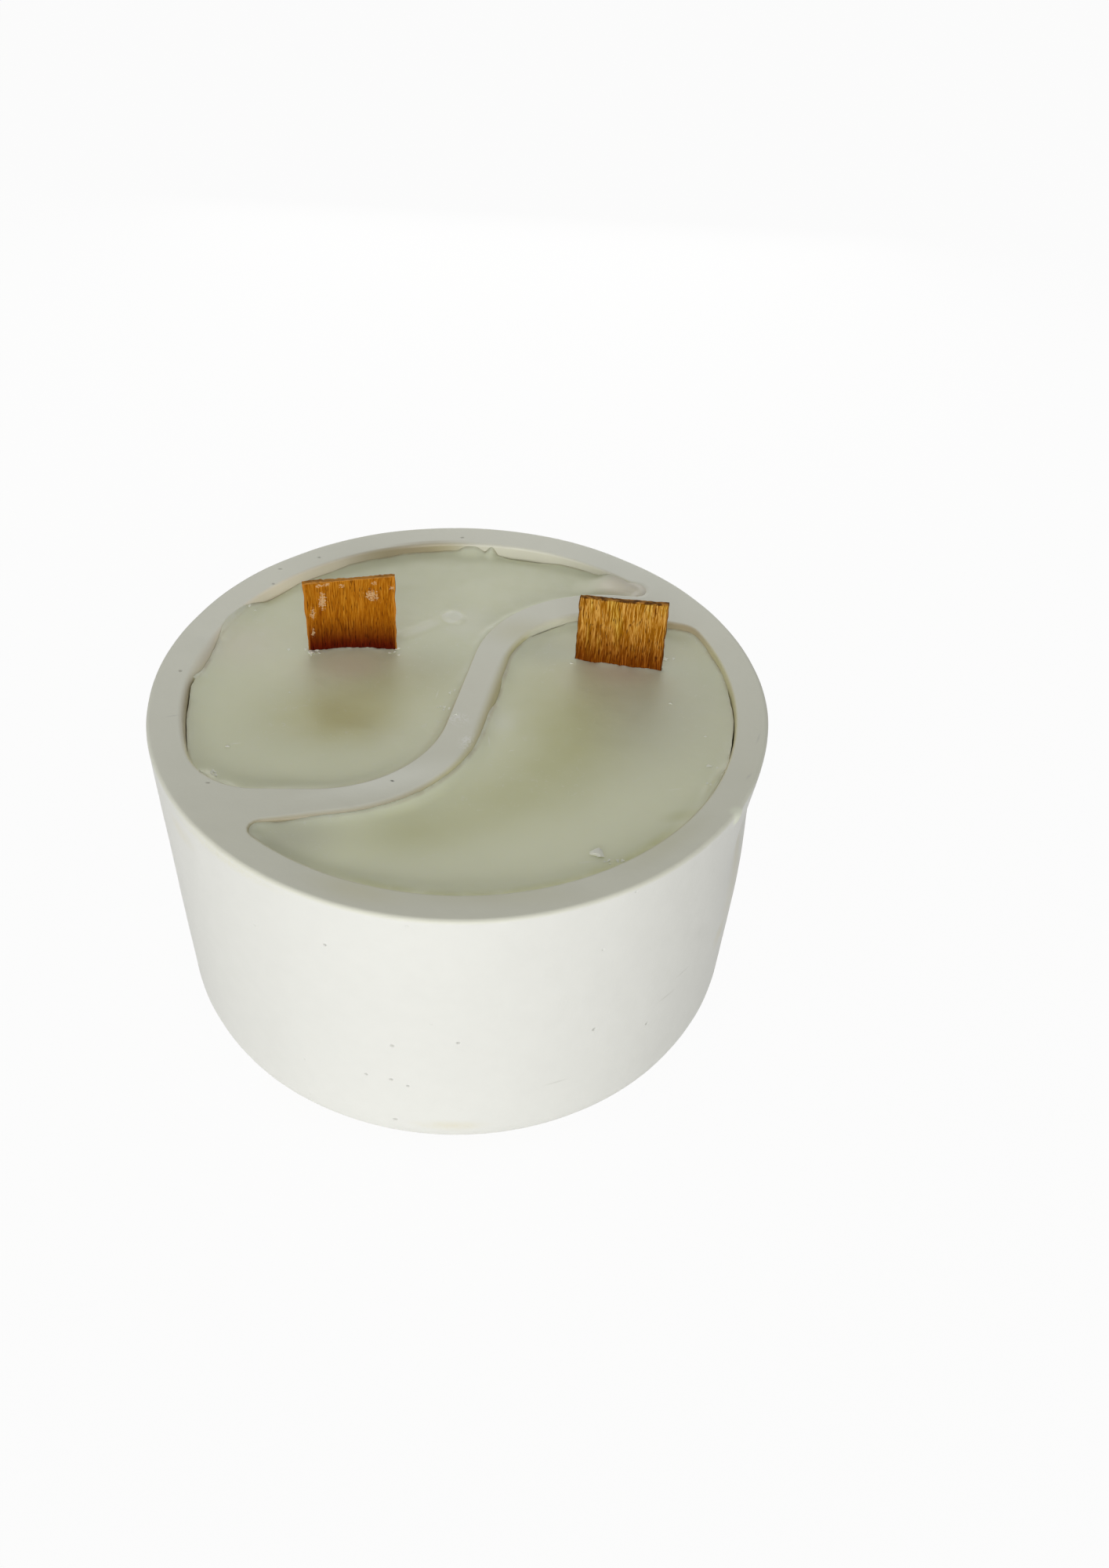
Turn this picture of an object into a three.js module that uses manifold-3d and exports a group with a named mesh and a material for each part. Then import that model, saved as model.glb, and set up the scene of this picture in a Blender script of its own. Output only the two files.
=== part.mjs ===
// A round cast cup with an S-shaped dividing wall, two wax fills and two flat wooden wicks.
// Millimetres, +Z up. The origin is the centre of the base, and -Y is the front.

import * as THREE from "three";
import { mergeVertices } from "three/addons/utils/BufferGeometryUtils.js";
import Module from "manifold-3d";

const wasm = await Module();
wasm.setup();

const degrees = Math.PI / 180;

// Cup body
const rimDiameter = 88;
const cupHeight = 51.5;
const sideDraft = 3.5 * degrees;
const baseCornerRadius = 7.8;
const rimWall = 4.8;
const floorThickness = 6;
const rimOuterRound = 0.6;
const rimInnerRound = 0.4;

// Dividing wall, drawn as its centre line on the rim plane from the lower left to the upper right
const dividerWidth = 5.1;
const dividerDraft = 1.5 * degrees;
const dividerMiddleX = 2.3;
const dividerMiddleY = 2;
const middleRunHeading = 76 * degrees;
const middleRunLength = 16.6;
const lowerBendRadius = 20.8;
const upperBendRadius = 17.8;
const lowerRunHeading = 5 * degrees;
const upperRunHeading = -10 * degrees;
const runFlare = 4.5 * degrees;

// Corners of the wells
const tipRadius = 1.6;
const leftCornerRadius = 10.6;
const rightCornerRadius = 3.6;
const wellFloorRadius = 2.5;

// Wax fills
const waxBelowRim = 1.6;
const waxClimb = 0.5;
const waxClimbReach = 2.4;

// Clearance of every fit
const clearance = 0.3;

// Wooden wicks, each in a direction from the cup's axis and at a share of the way to the rim wall
const wickWidth = 12.9;
const wickThickness = 0.6;
const leftWick = {
  direction: 140.3 * degrees,
  reach: 0.53,
  turn: 2 * degrees,
  leftHeight: 12.6,
  rightHeight: 13.5,
  topDip: 0.8,
  cupping: 0.5,
  lean: -0.02,
};
const rightWick = {
  direction: 24.35 * degrees,
  reach: 0.65,
  turn: -11 * degrees,
  leftHeight: 11.4,
  rightHeight: 12.4,
  topDip: 0.2,
  cupping: 0,
  lean: 0.015,
};

// Wick clips, folded from sheet with two double ridges that grip the wick
const clipSheet = 0.4;
const clipLength = 14;
const clipWidth = 10;
const clipCornerRadius = 2;
const clipRidgeHeight = 5.4;
const clipRidgeThickness = 0.9;
const clipFootRound = 0.6;

// Adhesive foam dots under the clips
const stickerDiameter = 12;
const stickerThickness = 0.8;

// Facets
const turnSteps = 96;
const roundSteps = 6;
const lipSteps = 4;
const rimArcSteps = 34;
const faceSteps = 30;
const cornerSteps = 6;
const climbSteps = 3;
const wickSteps = 12;

const rimRadius = rimDiameter / 2;
const waxLevel = cupHeight - waxBelowRim;
const clipFoot = floorThickness + stickerThickness;
const wickFoot = clipFoot + clipSheet;
const clipTop = clipFoot + clipRidgeHeight;
const clipGap = wickThickness + 2 * clearance;

function wickPlace(wick) {
  const fromAxis = wick.reach * (rimRadius - rimWall);
  return new THREE.Vector3(fromAxis * Math.cos(wick.direction), fromAxis * Math.sin(wick.direction), 0);
}

const leftWell = { side: 1, cornerRadius: leftCornerRadius };
const rightWell = { side: -1, cornerRadius: rightCornerRadius };

// Closed solids

function solidOf(geometry) {
  const bare = geometry.clone();
  bare.deleteAttribute("normal");
  bare.deleteAttribute("uv");
  const merged = mergeVertices(bare, 1e-4);
  return new wasm.Manifold(new wasm.Mesh({
    numProp: 3,
    vertProperties: Float32Array.from(merged.attributes.position.array),
    triVerts: Uint32Array.from(merged.index.array),
  }));
}

function geometryOf(solid) {
  const mesh = solid.getMesh();
  const geometry = new THREE.BufferGeometry();
  geometry.setAttribute("position", new THREE.BufferAttribute(mesh.vertProperties, 3));
  geometry.setIndex(new THREE.BufferAttribute(mesh.triVerts, 1));
  geometry.computeVertexNormals();
  return geometry;
}

// A skin through closed rings of as many points each, anticlockwise from above, with flat ends.
function loft(rings) {
  const count = rings[0].length;
  const positions = rings.flat().flatMap((point) => [point.x, point.y, point.z]);
  const index = [];
  for (let level = 0; level + 1 < rings.length; level++) {
    for (let i = 0; i < count; i++) {
      const next = (i + 1) % count;
      const below = level * count;
      const above = below + count;
      index.push(below + i, below + next, above + next);
      index.push(below + i, above + next, above + i);
    }
  }
  const last = (rings.length - 1) * count;
  for (const [a, b, c] of THREE.ShapeUtils.triangulateShape(rings[0], [])) index.push(a, c, b);
  for (const [a, b, c] of THREE.ShapeUtils.triangulateShape(rings.at(-1), [])) {
    index.push(last + a, last + b, last + c);
  }
  const geometry = new THREE.BufferGeometry();
  geometry.setAttribute("position", new THREE.Float32BufferAttribute(positions, 3));
  geometry.setIndex(index);
  geometry.computeVertexNormals();
  return geometry;
}

// Dividing wall

const alongMiddle = new THREE.Vector2(Math.cos(middleRunHeading), Math.sin(middleRunHeading));
const rightOfMiddle = new THREE.Vector2(Math.sin(middleRunHeading), -Math.cos(middleRunHeading));
const dividerMiddle = new THREE.Vector2(dividerMiddleX, dividerMiddleY);
const lowerBendCentre = dividerMiddle.clone()
  .addScaledVector(alongMiddle, -middleRunLength / 2)
  .addScaledVector(rightOfMiddle, -lowerBendRadius);
const upperBendCentre = dividerMiddle.clone()
  .addScaledVector(alongMiddle, middleRunLength / 2)
  .addScaledVector(rightOfMiddle, upperBendRadius);

// A point of the wall's face on one side (1 left, -1 right), `offset` out from the centre line.
// `station` is 0 to 1 on the lower run, 2 after the lower bend, 3 after the middle run,
// 4 after the upper bend and 5 at the far end of the upper run. Both runs pass the rim.
function facePoint(station, side, offset) {
  const lowerHeading = lowerRunHeading - side * runFlare;
  const upperHeading = upperRunHeading + side * runFlare;
  const onLowerBend = (heading) => new THREE.Vector2(Math.sin(heading), -Math.cos(heading))
    .multiplyScalar(lowerBendRadius - side * offset).add(lowerBendCentre);
  const onUpperBend = (heading) => new THREE.Vector2(-Math.sin(heading), Math.cos(heading))
    .multiplyScalar(upperBendRadius + side * offset).add(upperBendCentre);
  const run = (from, heading, length) => from.add(
    new THREE.Vector2(Math.cos(heading), Math.sin(heading)).multiplyScalar(length));
  if (station < 1) return run(onLowerBend(lowerHeading), lowerHeading, (station - 1) * rimDiameter);
  if (station < 2) return onLowerBend(THREE.MathUtils.lerp(lowerHeading, middleRunHeading, station - 1));
  if (station < 3) return run(onLowerBend(middleRunHeading), middleRunHeading, (station - 2) * middleRunLength);
  if (station < 4) return onUpperBend(THREE.MathUtils.lerp(middleRunHeading, upperHeading, station - 3));
  return run(onUpperBend(upperHeading), upperHeading, (station - 4) * rimDiameter);
}

// Evenly spread steps take few of the points on the straight runs and most of them on the bends.
const stationSpread = [0, 1, 13, 14, 26, 27];

function stationAt(spread) {
  const leg = Math.min(stationSpread.findLastIndex((start) => start <= spread), 4);
  return leg + (spread - stationSpread[leg]) / (stationSpread[leg + 1] - stationSpread[leg]);
}

// Where a fillet of `radius` touches both a face and the rim wall: the spread of its place
// on the face and its centre. The search runs from `inside` the rim to `outside` it.
function filletPlace(side, offset, radius, rimInside, inside, outside) {
  let near = inside;
  let far = outside;
  for (let i = 0; i < 50; i++) {
    const middle = (near + far) / 2;
    const reach = facePoint(stationAt(middle), side, offset + radius).length();
    if (reach < rimInside - radius) near = middle;
    else far = middle;
  }
  return { spread: near, centre: facePoint(stationAt(near), side, offset + radius) };
}

// Points of an arc from `start` up to but without `end`, anticlockwise for a turn of 1.
function arcPoints(centre, start, end, turn, steps) {
  const from = start.clone().sub(centre);
  const sweep = THREE.MathUtils.euclideanModulo(turn * (end.clone().sub(centre).angle() - from.angle()), 2 * Math.PI);
  return Array.from({ length: steps }, (_, i) =>
    from.clone().rotateAround(new THREE.Vector2(), turn * sweep * i / steps).add(centre));
}

// The outline of a well `depth` below the rim, drawn in by `inset`, as a ring at height `z`.
function wellRing(well, depth, inset, z = cupHeight - depth) {
  const rimInside = rimRadius - rimWall - depth * Math.tan(sideDraft) - inset;
  const offset = dividerWidth / 2 + depth * Math.tan(dividerDraft) + inset;
  const { side, cornerRadius } = well;
  const lowerRadius = side > 0 ? cornerRadius : tipRadius;
  const upperRadius = side > 0 ? tipRadius : cornerRadius;
  const halfWay = stationSpread.at(-1) / 2;
  const lower = filletPlace(side, offset, lowerRadius, rimInside, halfWay, stationSpread[0]);
  const upper = filletPlace(side, offset, upperRadius, rimInside, halfWay, stationSpread.at(-1));
  const onRim = (fillet) => fillet.centre.clone().setLength(rimInside);
  const onFace = (fillet) => facePoint(stationAt(fillet.spread), side, offset);
  const face = Array.from({ length: faceSteps }, (_, i) => facePoint(
    stationAt(THREE.MathUtils.lerp(lower.spread, upper.spread, i / faceSteps)), side, offset));
  const outline = [
    ...arcPoints(lower.centre, onRim(lower), onFace(lower), side, cornerSteps),
    ...face,
    ...arcPoints(upper.centre, onFace(upper), onRim(upper), side, cornerSteps),
    ...arcPoints(new THREE.Vector2(), onRim(upper), onRim(lower), side, rimArcSteps),
  ];
  if (side < 0) outline.reverse();
  return outline.map((point) => new THREE.Vector3(point.x, point.y, z));
}

// Rings from the flat floor of a well up its floor fillet, drawn in by `gap`.
function floorRings(well, gap) {
  return Array.from({ length: lipSteps + 1 }, (_, i) => {
    const angle = (1 - i / lipSteps) * Math.PI / 2;
    const z = floorThickness + wellFloorRadius * (1 - Math.sin(angle));
    return wellRing(well, cupHeight - z, gap + wellFloorRadius * (1 - Math.cos(angle)), z);
  });
}

// Cup

function wellSolid(well) {
  const lip = Array.from({ length: lipSteps + 1 }, (_, i) => {
    const angle = i / lipSteps * Math.PI / 2;
    const depth = rimInnerRound * (1 - Math.sin(angle));
    return wellRing(well, depth, -rimInnerRound * (1 - Math.cos(angle)));
  });
  const aboveRim = wellRing(well, 0, -rimInnerRound, cupHeight + rimInnerRound);
  return solidOf(loft([...floorRings(well, 0), ...lip, aboveRim]));
}

// The outer form: flat base, rounded base corner, drafted side and rounded rim edge.
function cupOutside() {
  const sideAt = (z) => rimRadius - (cupHeight - z) * Math.tan(sideDraft);
  const roundAt = (radius, z, from, to, steps) => {
    const x = sideAt(z) - radius / Math.cos(sideDraft);
    return Array.from({ length: steps + 1 }, (_, i) => {
      const angle = THREE.MathUtils.lerp(from, to, i / steps);
      return new THREE.Vector2(x + radius * Math.cos(angle), z + radius * Math.sin(angle));
    });
  };
  const profile = [
    new THREE.Vector2(0, 0),
    ...roundAt(baseCornerRadius, baseCornerRadius, -Math.PI / 2, -sideDraft, roundSteps),
    ...roundAt(rimOuterRound, cupHeight - rimOuterRound, -sideDraft, Math.PI / 2, lipSteps),
    new THREE.Vector2(0, cupHeight),
  ];
  const turned = new THREE.LatheGeometry(profile, turnSteps);
  turned.rotateX(Math.PI / 2);
  return solidOf(turned);
}

function cupGeometry() {
  return geometryOf(cupOutside().subtract(wellSolid(leftWell)).subtract(wellSolid(rightWell)));
}

// Wicks

// A strip standing on `foot`, cupped away from the front above its clip, grown by `gap` all round.
function wickSolid(wick, foot, gap) {
  const topAt = (across) => {
    const height = THREE.MathUtils.lerp(wick.leftHeight, wick.rightHeight, across);
    return waxLevel + height - wick.topDip * Math.sin(Math.PI * across) + gap;
  };
  const ring = (heightAt) => {
    const edge = (face) => Array.from({ length: wickSteps + 1 }, (_, i) => {
      const across = i / wickSteps;
      const z = heightAt(across);
      const cupped = THREE.MathUtils.clamp((z - clipTop) / (waxLevel - clipTop), 0, 1);
      return new THREE.Vector3(
        (across - 0.5) * (wickWidth + 2 * gap) + wick.lean * Math.max(z - waxLevel, 0),
        face * (wickThickness / 2 + gap) + cupped * wick.cupping * Math.sin(Math.PI * across),
        z);
    });
    return [...edge(-1), ...edge(1).reverse()];
  };
  return solidOf(loft([ring(() => foot), ring(() => clipTop), ring(() => waxLevel), ring(topAt)]));
}

// Clips and stickers

function clipProfile() {
  const half = clipWidth / 2;
  const inner = clipGap / 2;
  const outer = inner + clipRidgeThickness;
  const crown = clipRidgeHeight - clipRidgeThickness / 2;
  const crownRadius = clipRidgeThickness / 2;
  const shape = new THREE.Shape();
  shape.moveTo(-half, 0);
  shape.lineTo(half, 0);
  shape.lineTo(half, clipSheet);
  shape.absarc(outer + clipFootRound, clipSheet + clipFootRound, clipFootRound, -Math.PI / 2, -Math.PI, true);
  shape.absarc((inner + outer) / 2, crown, crownRadius, 0, Math.PI, false);
  shape.lineTo(inner, clipSheet);
  shape.lineTo(-inner, clipSheet);
  shape.absarc(-(inner + outer) / 2, crown, crownRadius, 0, Math.PI, false);
  shape.absarc(-outer - clipFootRound, clipSheet + clipFootRound, clipFootRound, 0, -Math.PI / 2, true);
  shape.lineTo(-half, clipSheet);
  shape.closePath();
  return shape;
}

// A slab with rounded corners between two heights.
function roundedSlab(length, width, cornerRadius, bottom, top) {
  const x = length / 2 - cornerRadius;
  const y = width / 2 - cornerRadius;
  const shape = new THREE.Shape();
  shape.absarc(x, -y, cornerRadius, -Math.PI / 2, 0, false);
  shape.absarc(x, y, cornerRadius, 0, Math.PI / 2, false);
  shape.absarc(-x, y, cornerRadius, Math.PI / 2, Math.PI, false);
  shape.absarc(-x, -y, cornerRadius, Math.PI, 1.5 * Math.PI, false);
  shape.closePath();
  const slab = new THREE.ExtrudeGeometry(shape, {
    depth: top - bottom, bevelEnabled: false, curveSegments: cornerSteps,
  });
  return solidOf(slab.translate(0, 0, bottom));
}

function clipSolid() {
  const bent = new THREE.ExtrudeGeometry(clipProfile(), {
    depth: clipLength, bevelEnabled: false, curveSegments: cornerSteps,
  });
  const along = new THREE.Matrix4().makeBasis(
    new THREE.Vector3(0, 1, 0), new THREE.Vector3(0, 0, 1), new THREE.Vector3(1, 0, 0));
  bent.applyMatrix4(along).translate(-clipLength / 2, 0, clipFoot);
  const blank = roundedSlab(clipLength, clipWidth, clipCornerRadius, 0, cupHeight);
  return solidOf(bent).intersect(blank);
}

function disc(diameter, bottom, top) {
  const cylinder = new THREE.CylinderGeometry(diameter / 2, diameter / 2, top - bottom, turnSteps / 2);
  return cylinder.rotateX(Math.PI / 2).translate(0, 0, (bottom + top) / 2);
}

// Wax

// The room that a wick, its clip and its sticker take up in the wax, open at the floor.
function wickRoom(wick) {
  const ridges = clipGap + 2 * (clipRidgeThickness + clipFootRound + clearance);
  const base = roundedSlab(clipLength + 2 * clearance, clipWidth + 2 * clearance,
    clipCornerRadius + clearance, 0, wickFoot + clearance);
  const grip = roundedSlab(clipLength + 2 * clearance, ridges, clipFootRound, 0, clipTop + clearance);
  const dot = solidOf(disc(stickerDiameter + 2 * clearance, 0, clipFoot + clearance));
  return wickSolid(wick, wickFoot, clearance).add(base).add(grip).add(dot);
}

function waxGeometry(well, wick) {
  const climb = Array.from({ length: climbSteps + 1 }, (_, i) => {
    const along = i / climbSteps;
    const z = waxLevel + waxClimb * (1 - along) ** 2;
    return wellRing(well, cupHeight - z, clearance + waxClimbReach * along);
  });
  const fill = solidOf(loft([...floorRings(well, clearance), ...climb]));
  const room = geometryOf(wickRoom(wick)).rotateZ(wick.turn).translate(...wickPlace(wick));
  return geometryOf(fill.subtract(solidOf(room)));
}

// Assembly

const plaster = { color: 0xe8e6dd, roughness: 0.72, metalness: 0 };
const wax = { color: 0xd6d8b8, roughness: 0.42, metalness: 0 };
const wood = { color: 0xb4731e, roughness: 0.65, metalness: 0 };
const tin = { color: 0xb9b8b2, roughness: 0.35, metalness: 0.9 };
const foam = { color: 0xf1efe9, roughness: 0.85, metalness: 0 };

function piece(name, geometry, finish) {
  const mesh = new THREE.Mesh(geometry, new THREE.MeshStandardMaterial(finish));
  mesh.name = name;
  return mesh;
}

// A wick with its clip and sticker, standing on the floor of its well.
function wickSet(name, wick) {
  const set = new THREE.Group();
  set.add(piece(`wick_${name}`, geometryOf(wickSolid(wick, wickFoot, 0)), wood));
  set.add(piece(`wick_clip_${name}`, geometryOf(clipSolid()), tin));
  set.add(piece(`wick_sticker_${name}`, disc(stickerDiameter, floorThickness, clipFoot), foam));
  set.position.copy(wickPlace(wick));
  set.rotation.z = wick.turn;
  return set;
}

const candle = new THREE.Group();
candle.add(piece("cup", cupGeometry(), plaster));
candle.add(piece("wax_left", waxGeometry(leftWell, leftWick), wax));
candle.add(piece("wax_right", waxGeometry(rightWell, rightWick), wax));
candle.add(wickSet("left", leftWick));
candle.add(wickSet("right", rightWick));

export default candle;
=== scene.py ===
import random
from functools import reduce
from math import atan2, ceil, cos, pi, radians, sin, sqrt, tan

import bpy
import numpy as np
from mathutils import Matrix, Vector, noise
from mathutils.kdtree import KDTree


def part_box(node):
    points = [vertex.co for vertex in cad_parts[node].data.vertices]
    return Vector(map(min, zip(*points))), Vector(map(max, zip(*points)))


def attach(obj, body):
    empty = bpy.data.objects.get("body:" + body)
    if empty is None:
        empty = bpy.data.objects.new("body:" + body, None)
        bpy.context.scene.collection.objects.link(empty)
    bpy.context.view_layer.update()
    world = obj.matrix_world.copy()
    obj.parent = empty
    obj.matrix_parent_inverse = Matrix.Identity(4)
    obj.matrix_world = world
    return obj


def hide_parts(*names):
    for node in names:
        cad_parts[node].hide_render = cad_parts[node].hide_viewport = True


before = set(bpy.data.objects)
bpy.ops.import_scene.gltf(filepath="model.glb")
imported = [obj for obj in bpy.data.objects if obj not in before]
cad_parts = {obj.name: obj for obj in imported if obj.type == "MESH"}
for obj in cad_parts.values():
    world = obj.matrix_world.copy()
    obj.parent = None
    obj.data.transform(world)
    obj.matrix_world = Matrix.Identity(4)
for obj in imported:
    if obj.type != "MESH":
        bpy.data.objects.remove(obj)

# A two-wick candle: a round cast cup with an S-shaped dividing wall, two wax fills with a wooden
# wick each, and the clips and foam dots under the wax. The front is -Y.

MM = 0.001
UP = Vector((0, 0, 1))
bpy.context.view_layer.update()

# Cup
SIDE_DRAFT = radians(3.5)
RIM_RADIUS = 44 * MM
RIM_OUTER_ROUND = 0.6 * MM
RIM_WIDTH = 4.4 * MM
BASE_CORNER = 7.8 * MM
FLOOR_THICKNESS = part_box("wick_sticker_left")[0].z
CUP_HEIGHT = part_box("cup")[1].z
TURN_STEPS = 360

# Dividing wall, drawn as its centre line from the lower left to the upper right
DIVIDER_WIDTH = 4.3 * MM
DIVIDER_MIDDLE = Vector((2.3, 2.0, 0)) * MM
MIDDLE_HEADING = radians(76)
MIDDLE_LENGTH = 16.6 * MM
LOWER_BEND = 20.8 * MM
UPPER_BEND = 17.8 * MM
LOWER_HEADING = radians(5)
UPPER_HEADING = radians(-10)
RUN_FLARE = radians(4.5)

# Rounded lip between the rim and the walls of the wells, as it is cut and as it usually is in the end
LIP = 0.8 * MM
USUAL_LIP = 0.4 * MM
WALL_TAPER = 0.5 * MM

# Wax
WAX_LEVEL = CUP_HEIGHT - 1.6 * MM
WAX_GAP = 0.02 * MM
WAX_CELL = 0.3 * MM
OVERFLOW = 1.6 * MM

# Wicks
WICK_WIDTH = 12.9 * MM
WICK_THICKNESS = 0.6 * MM
WICK_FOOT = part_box("wick_left")[0].z
CLIP_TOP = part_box("wick_clip_left")[1].z

# Room for a clip in the wax: its length, its width over the sheet and its width over the ridges
CLIP_ROOM = (14.6 * MM, 10.6 * MM, 4.8 * MM)

# Length of an edge on a drawn line, and the distance at which points are merged
FACET = 0.9 * MM
WELD = 1e-7


def wick_place(side):
    low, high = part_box(f"wick_clip_{side}")
    return Vector(((low.x + high.x) / 2, (low.y + high.y) / 2, 0))


# Tears are places along the top edge with their reach and height in millimetres.
# The side_edge colour is a painted highlight along the sides of the left wick and a dark edge on the right
# one.
LEFT_WICK = {
    "place": wick_place("left"), "turn": radians(2),
    "left_height": 11.95 * MM, "right_height": 13.2 * MM, "top_dip": 0.35 * MM,
    "cupping": 0.6 * MM, "lean": -0.02, "flare": 0.03, "seed": 3, "ragged": 0.12 * MM,
    "tears": [(-5.1, 1.3, 0.15), (-3.3, 0.5, 0.08), (4.9, 1.6, 0.08)],
    "dark": (0.22, 0.055, 0.001), "base": (0.38, 0.12, 0.002), "light": (0.56, 0.23, 0.02),
    "foot": (0.25, 0.05, 0.05), "side_edge": (0.55, 0.22, 0.03),
    "contrast": 0.9, "dark_foot": 7.2, "char": 0.45, "gold": 0.2,
}
RIGHT_WICK = {
    "place": wick_place("right"), "turn": radians(-11),
    "left_height": 11.5 * MM, "right_height": 12.0 * MM, "top_dip": 0.15 * MM,
    "cupping": 0.0, "lean": 0.015, "flare": 0.0, "seed": 8, "ragged": 0.05 * MM,
    "tears": [(-6.0, 0.5, -0.12), (2.6, 1.0, 0.06)],
    "dark": (0.22, 0.07, 0.002), "base": (0.38, 0.145, 0.004), "light": (0.70, 0.38, 0.09),
    "foot": (0.5, 0.3, 0.12), "side_edge": (0.09, 0.03, 0.004),
    "contrast": 1.25, "dark_foot": 8.0, "char": 0.9, "gold": 0.9,
}

# Modelling helpers


def deselect_all():
    for thing in bpy.context.selected_objects:
        thing.select_set(False)


def activate(piece):
    deselect_all()
    piece.select_set(True)
    bpy.context.view_layer.objects.active = piece


def edit(piece):
    """Opens the piece for editing, with all of it selected."""
    activate(piece)
    bpy.ops.object.mode_set(mode="EDIT")
    bpy.ops.mesh.select_all(action="SELECT")


def leave_edit():
    bpy.ops.object.mode_set(mode="OBJECT")


def extrude(way):
    bpy.ops.mesh.extrude_region_move(TRANSFORM_OT_translate={"value": way})


def settle(piece):
    """Puts the piece's place into its mesh and turns its faces outwards."""
    edit(piece)
    bpy.ops.mesh.remove_doubles(threshold=WELD)
    bpy.ops.mesh.normals_make_consistent(inside=False)
    leave_edit()
    bpy.ops.object.transform_apply(location=True, rotation=True, scale=True)
    return piece


def finish_modifier(piece, kind, **settings):
    """Adds a modifier, sets it and applies it."""
    activate(piece)
    modifier = piece.modifiers.new(kind.lower(), kind)
    for name, value in settings.items():
        setattr(modifier, name, value)
    bpy.ops.object.modifier_apply(modifier=modifier.name)
    return piece


def carve(piece, tool, operation="DIFFERENCE"):
    finish_modifier(piece, "BOOLEAN", operation=operation, solver="MANIFOLD", object=tool)
    bpy.data.objects.remove(tool)
    return piece


def drop_slivers(piece):
    """Takes out the narrow faces that cutting leaves and that fold flat once they are triangles."""
    edit(piece)
    bpy.ops.mesh.quads_convert_to_tris()
    bpy.ops.mesh.remove_doubles(threshold=WELD)
    bpy.ops.mesh.select_mode(type="EDGE")
    bpy.ops.mesh.select_all(action="DESELECT")
    bpy.ops.mesh.select_non_manifold(
        extend=False, use_wire=True, use_boundary=True, use_multi_face=False,
        use_non_contiguous=False, use_verts=False)
    bpy.ops.mesh.delete(type="EDGE")
    leave_edit()


def smooth(piece, angle=radians(32)):
    activate(piece)
    bpy.ops.object.shade_smooth_by_angle(angle=angle)
    finish_modifier(piece, "WEIGHTED_NORMAL", keep_sharp=True, weight=80)


def points_of(piece):
    points = np.empty(len(piece.data.vertices) * 3)
    piece.data.vertices.foreach_get("co", points)
    return points.reshape(-1, 3)


def move_points(piece, points):
    piece.data.vertices.foreach_set("co", points.ravel())
    piece.data.update()


def ripple(points, size, amount, seed=0.0):
    """A smooth random height for each point, with waves of about that size."""
    shift = Vector((seed * 7.3, seed * 3.1, seed * 5.7))
    return np.array([noise.noise(Vector(point) / size + shift) for point in points]) * amount


def plan_away(points, x, y, reach):
    """How many reaches each point lies from a place in plan. The place and the reach are in millimetres."""
    return np.hypot(points[:, 0] - x * MM, points[:, 1] - y * MM) / (reach * MM)


def gather(points, level, spots):
    """A length for each point: the level, but near a spot (x, y, reach, length in mm) its own length."""
    values = np.full(len(points), float(level))
    for x, y, reach, value in spots:
        near = np.exp(-np.minimum(plan_away(points, x, y, reach) ** 4, 50))
        values = values * (1 - near) + value * MM * near
    return values


def store(piece, name, values):
    """Keeps a value for each point, for the piece's material to read."""
    piece.data.attributes.new(name, "FLOAT", "POINT").data.foreach_set("value", values)


def select_faces(piece, chosen):
    """Selects the faces for which chosen(centre, normal) holds. The piece is in edit mode."""
    bpy.ops.mesh.select_all(action="DESELECT")
    leave_edit()
    for face in piece.data.polygons:
        face.select = chosen(face.center, face.normal)
    bpy.ops.object.mode_set(mode="EDIT")
    bpy.ops.mesh.select_mode(type="FACE")


class Pen:
    """Draws a line of edges: straight runs are extruded and bends are spun."""

    def __init__(self, name, start, facet=FACET):
        deselect_all()
        bpy.ops.mesh.primitive_plane_add(size=MM, location=start)
        self.piece = bpy.context.object
        self.piece.name = name
        self.at = Vector(start)
        self.facet = facet
        bpy.ops.object.mode_set(mode="EDIT")
        bpy.ops.mesh.select_mode(type="VERT")
        bpy.ops.mesh.merge(type="CENTER")

    def run(self, end, steps=None):
        way = Vector(end) - self.at
        steps = steps or ceil(way.length / self.facet)
        for _ in range(steps):
            extrude(way / steps)
        self.at = Vector(end)

    def bend(self, centre, turn, steps=None, axis=UP):
        """Turns round the centre, anticlockwise about the axis for a positive turn."""
        arm = self.at - Vector(centre)
        steps = steps or max(3, ceil(abs(turn) * arm.length / self.facet))
        bpy.ops.mesh.spin(steps=steps, angle=-turn, center=centre, axis=axis)
        self.at = Vector(centre) + Matrix.Rotation(turn, 3, axis) @ arm

    def close(self):
        """Joins the two ends and fills the outline with a face that looks up."""
        bpy.ops.mesh.select_all(action="SELECT")
        bpy.ops.mesh.remove_doubles(threshold=1e-6)
        bpy.ops.mesh.edge_face_add()
        leave_edit()
        bpy.ops.object.transform_apply(location=True, rotation=False, scale=False)
        if self.piece.data.polygons[0].normal.z < 0:
            self.piece.data.flip_normals()
        return self.piece


# Wells


def heading(angle):
    return Vector((cos(angle), sin(angle), 0))


def left_of(direction):
    return Vector((-direction.y, direction.x, 0))


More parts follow.
